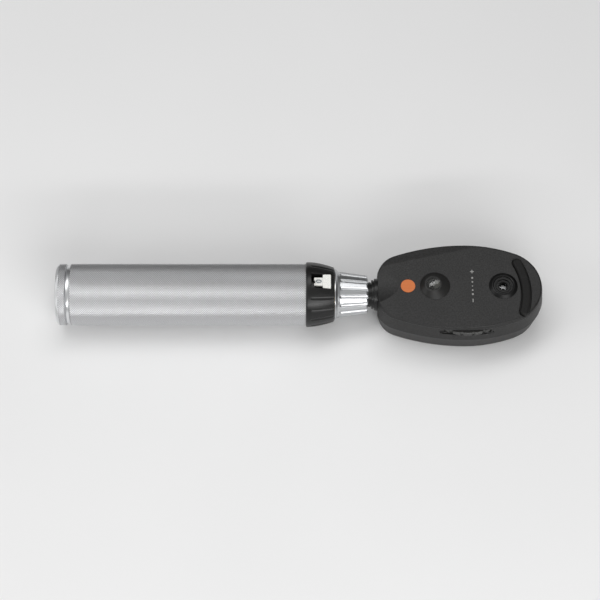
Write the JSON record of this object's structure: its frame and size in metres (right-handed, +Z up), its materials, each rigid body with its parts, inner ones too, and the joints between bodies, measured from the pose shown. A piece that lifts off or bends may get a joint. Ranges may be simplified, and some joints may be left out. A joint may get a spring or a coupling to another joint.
{
  "type": "ophthalmoscope",
  "caption": "Hand-held direct ophthalmoscope: black head with lens wheel, viewing port and brow rest on a knurled battery handle with a brightness ring.",
  "frame": {"origin": "centre of the footprint, on the surface the instrument lies on", "axes": "+X runs from the handle's cap to the head's round end, +Z is up, out of the face the examiner looks into; the patient's side is down"},
  "size_m": [0.235, 0.048, 0.0315],
  "materials": {
    "knurled_chrome": "satin chrome plate with a fine diamond knurl",
    "satin_chrome": "satin chrome plate",
    "spring_steel": "bright drawn wire and strip",
    "bright_nickel": "bright nickel plate",
    "collar_black": "fine-grained black moulding",
    "housing_black": "fine-grained black polycarbonate",
    "optics_black": "flat black inside surface",
    "wheel_black": "black moulding",
    "trim_black": "semi-gloss black",
    "rest_black": "soft matt black",
    "button_white": "white moulding",
    "ring_white": "white printed ring",
    "badge_orange": "orange enamel",
    "insulator": "natural insulating plastic",
    "insulator_dark": "brown laminate",
    "lamp_gold": "bright gold-coloured brass",
    "contact_brass": "turned brass",
    "clear_glass": "clear coated glass",
    "lamp_bulb_glass": "thin clear bulb glass",
    "green_glass": "green red-free filter glass",
    "mirror_glass": "silvered prism",
    "filament_wire": "drawn wire",
    "cell_jacket": "printed steel jacket with a bare button end"
  },
  "bodies": {
    "handle": {"barrel": "knurled_chrome", "collar": "collar_black", "core_tube": "bright_nickel", "track_disc": "insulator_dark", "contact_bush": "insulator", "contact_pin": "contact_brass", "cell_front": "cell_jacket", "cell_rear": "cell_jacket", "button_spring": "spring_steel"},
    "control": {"control_ring": "satin_chrome", "wiper": "contact_brass"},
    "button": {"lock_button": "button_white"},
    "cap_contact": {"spring_plate": "contact_brass", "battery_spring": "spring_steel"},
    "cap": {"bottom_cap": "satin_chrome"},
    "bayonet": {"bayonet_ring": "bright_nickel"},
    "head": {"stem": "satin_chrome", "neck_sleeve": "trim_black", "lamp_base": "lamp_gold", "lamp_insulator": "insulator", "lamp_pin": "lamp_gold", "lamp_glass": "lamp_bulb_glass", "lamp_filament": "filament_wire", "back_cover": "housing_black", "front_shell": "housing_black", "cover_screws": "spring_steel", "optics_carrier": "optics_black", "carrier_screws": "spring_steel", "condenser_lens": "clear_glass", "projection_lens": "clear_glass", "mirror_prism": "mirror_glass", "aperture_axle": "spring_steel", "window_frame": "trim_black", "window_glass": "clear_glass", "wheel_axle": "bright_nickel", "detent_spring": "spring_steel", "detent_screw": "spring_steel", "detent_ball": "bright_nickel", "port_insert": "trim_black", "port_glass": "clear_glass", "dial_turret": "housing_black", "dial_lens": "clear_glass", "brow_rest": "rest_black", "badge": "badge_orange"},
    "lens_disc": {"lens_wheel": "wheel_black", "number_ring": "ring_white", "wheel_lenses": "clear_glass"},
    "aperture_disc": {"aperture_wheel": "wheel_black"},
    "filter": {"filter_slide": "wheel_black", "filter_glass": "green_glass"}
  },
  "joints": [
    {"name": "control_turn", "type": "hinge", "parent": "handle", "child": "control", "pos_m": [0.0245, 0, 0.01575], "axis": [1, 0, 0], "range_deg": [0, 270]},
    {"name": "button_press", "type": "slide", "parent": "handle", "child": "button", "axis": [0, 0, -1], "range_m": [0, 0.0009], "stiffness_N_per_m": 400, "springref_m": -0.001, "deforming": ["button_spring"]},
    {"name": "cap_travel", "type": "slide", "parent": "handle", "child": "cap_contact", "axis": [-1, 0, 0], "range_m": [0, 0.0106]},
    {"name": "cap_turn", "type": "hinge", "parent": "cap_contact", "child": "cap", "pos_m": [-0.11, 0, 0.01575], "axis": [-1, 0, 0], "range_deg": [0, 2520]},
    {"name": "head_turn", "type": "hinge", "parent": "handle", "child": "bayonet", "pos_m": [0.026, 0, 0.01575], "axis": [1, 0, 0], "range_deg": [0, 45]},
    {"name": "head_pull", "type": "slide", "parent": "bayonet", "child": "head", "axis": [1, 0, 0], "range_m": [0, 0.03]},
    {"name": "lens_wheel_turn", "type": "hinge", "parent": "head", "child": "lens_disc", "pos_m": [0.0801, 0, 0.02045], "axis": [0, 0, 1], "continuous": true},
    {"name": "aperture_wheel_turn", "type": "hinge", "parent": "head", "child": "aperture_disc", "pos_m": [0.0615, 0, 0.0096], "axis": [1, 0, 0], "continuous": true},
    {"name": "filter_shift", "type": "slide", "parent": "head", "child": "filter", "axis": [0, 1, 0], "range_m": [0, 0.006]}
  ],
  "couplings": [
    {"joint": "cap_travel", "follows": "cap_turn", "m_per_rad": 0.00023873}
  ]
}
